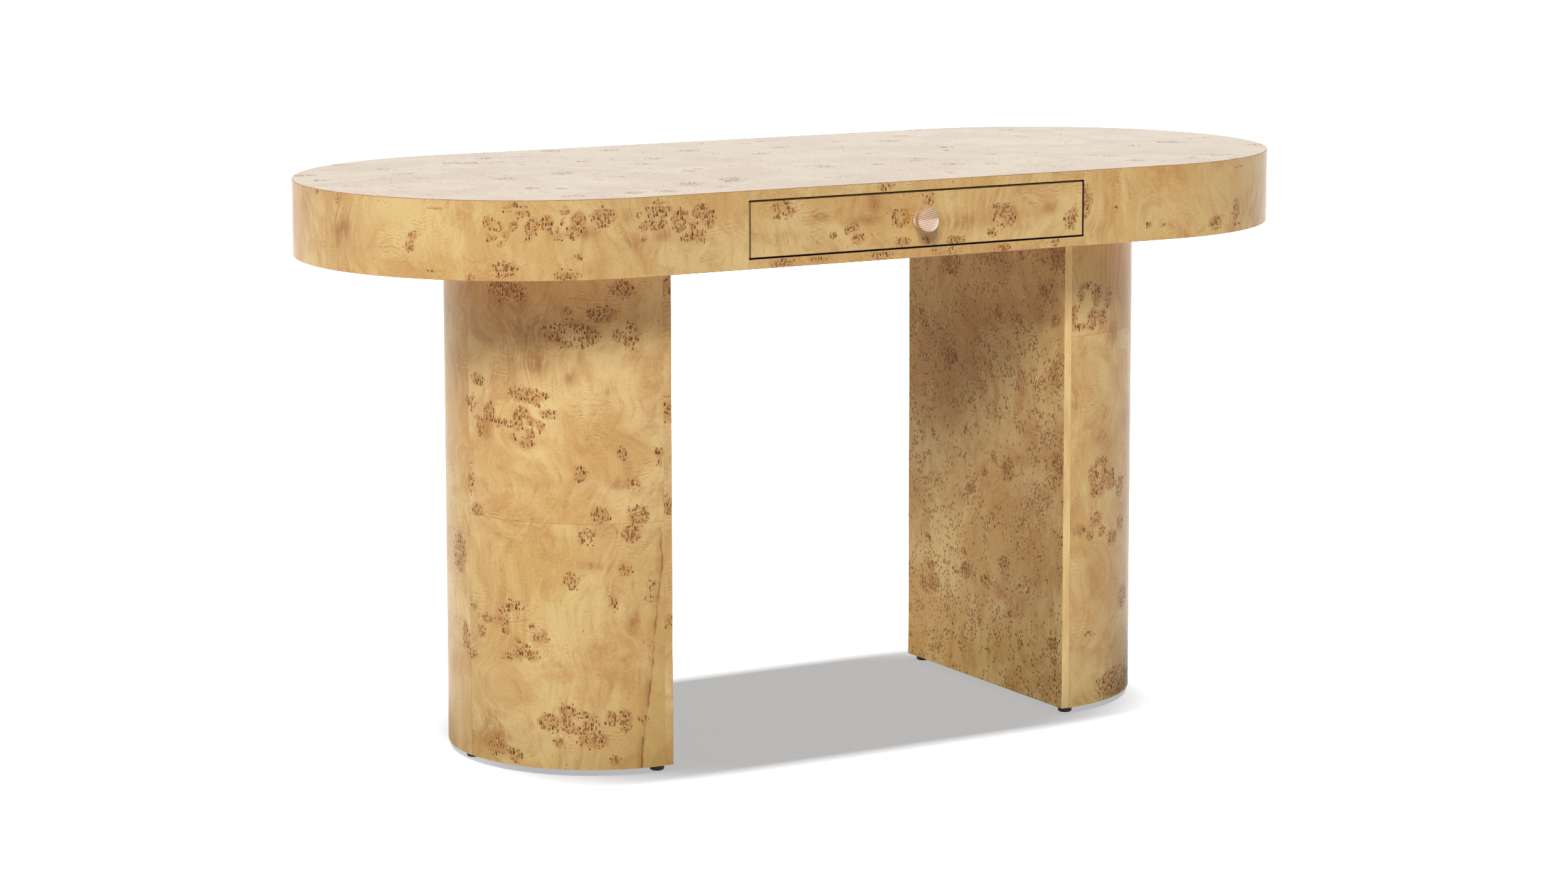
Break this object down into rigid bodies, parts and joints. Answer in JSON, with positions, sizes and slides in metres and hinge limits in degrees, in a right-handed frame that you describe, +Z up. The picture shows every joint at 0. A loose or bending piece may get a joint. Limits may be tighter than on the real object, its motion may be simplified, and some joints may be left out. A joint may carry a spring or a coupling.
{
  "type": "computer desk",
  "caption": "Racetrack-shaped writing desk with a thick hollow top, one inset drawer on roller runners and a D-shaped pedestal leg at each end.",
  "frame": {"origin": "on the floor, under the middle of the desk's bounding box with the knob counted, 13.5 mm in front of the middle of the top", "axes": "+Z up, +X along the desk, -Y towards the sitter: the drawer's front and knob face -Y"},
  "size_m": [1.4198, 0.657, 0.762],
  "materials": {
    "burl_veneer": "high-gloss clear lacquer over burl veneer",
    "core_board": "raw fibreboard",
    "drawer_birch": "satin lacquered birch",
    "knob_oak": "gloss lacquered limed oak",
    "glide_plastic": "dark brown moulded",
    "bumper_rubber": "translucent grey",
    "zinc_steel": "bright zinc plate",
    "knob_brass": "plain",
    "runner_enamel": "cream powder coat",
    "roller_nylon": "white nylon"
  },
  "bodies": {
    "desk": {"back_apron": "burl_veneer", "bay_back": "core_board", "bottom_panel": "burl_veneer", "cabinet_runner_screws": "zinc_steel", "drawer_bumpers": "bumper_rubber", "foot_board_screws": "zinc_steel", "foot_glides": "glide_plastic", "front_roller_pins": "zinc_steel", "left_bay_side": "core_board", "left_cabinet_runner": "runner_enamel", "left_cross_rib": "core_board", "left_end_apron": "burl_veneer", "left_front_apron": "burl_veneer", "left_leg_battens": "core_board", "left_leg_block": "core_board", "left_leg_foot_board": "core_board", "left_leg_formers": "core_board", "left_leg_head_board": "core_board", "left_leg_inner_panel": "burl_veneer", "left_leg_shell": "burl_veneer", "left_long_rib": "core_board", "leg_bolts": "zinc_steel", "leg_inserts": "zinc_steel", "leg_washers": "zinc_steel", "right_bay_side": "core_board", "right_cabinet_runner": "runner_enamel", "right_cross_rib": "core_board", "right_end_apron": "burl_veneer", "right_front_apron": "burl_veneer", "right_leg_battens": "core_board", "right_leg_block": "core_board", "right_leg_foot_board": "core_board", "right_leg_formers": "core_board", "right_leg_head_board": "core_board", "right_leg_inner_panel": "burl_veneer", "right_leg_shell": "burl_veneer", "right_long_rib": "core_board", "splice_blocks": "core_board", "top_panel": "burl_veneer"},
    "drawer": {"drawer_back": "drawer_birch", "drawer_bottom": "drawer_birch", "drawer_box_front": "drawer_birch", "drawer_front": "burl_veneer", "drawer_front_screws": "zinc_steel", "drawer_runner_screws": "zinc_steel", "knob": "knob_oak", "knob_insert": "knob_brass", "knob_screw": "zinc_steel", "knob_washer": "zinc_steel", "left_drawer_runner": "runner_enamel", "left_drawer_side": "drawer_birch", "rear_roller_pins": "zinc_steel", "right_drawer_runner": "runner_enamel", "right_drawer_side": "drawer_birch"},
    "left_front_roller": {"left_front_roller": "roller_nylon"},
    "right_front_roller": {"right_front_roller": "roller_nylon"},
    "left_rear_roller": {"left_rear_roller": "roller_nylon"},
    "right_rear_roller": {"right_rear_roller": "roller_nylon"}
  },
  "joints": [
    {"name": "drawer_slide", "type": "slide", "parent": "desk", "child": "drawer", "axis": [0, -1, 0], "range_m": [0, 0.333]},
    {"name": "left_front_roller_spin", "type": "hinge", "parent": "desk", "child": "left_front_roller", "pos_m": [-0.2483, -0.2705, 0.6941], "axis": [1, 0, 0], "range_deg": [0, 2940]},
    {"name": "left_rear_roller_spin", "type": "hinge", "parent": "drawer", "child": "left_rear_roller", "pos_m": [-0.2462, 0.1555, 0.6933], "axis": [1, 0, 0], "range_deg": [0, 2120]},
    {"name": "right_front_roller_spin", "type": "hinge", "parent": "desk", "child": "right_front_roller", "pos_m": [0.2483, -0.2705, 0.6941], "axis": [1, 0, 0], "range_deg": [0, 2940]},
    {"name": "right_rear_roller_spin", "type": "hinge", "parent": "drawer", "child": "right_rear_roller", "pos_m": [0.2462, 0.1555, 0.6933], "axis": [1, 0, 0], "range_deg": [0, 2120]}
  ],
  "couplings": [
    {"joint": "left_front_roller_spin", "follows": "drawer_slide", "rad_per_m": 153.85},
    {"joint": "left_rear_roller_spin", "follows": "drawer_slide", "rad_per_m": 111.11},
    {"joint": "right_front_roller_spin", "follows": "drawer_slide", "rad_per_m": 153.85},
    {"joint": "right_rear_roller_spin", "follows": "drawer_slide", "rad_per_m": 111.11}
  ]
}
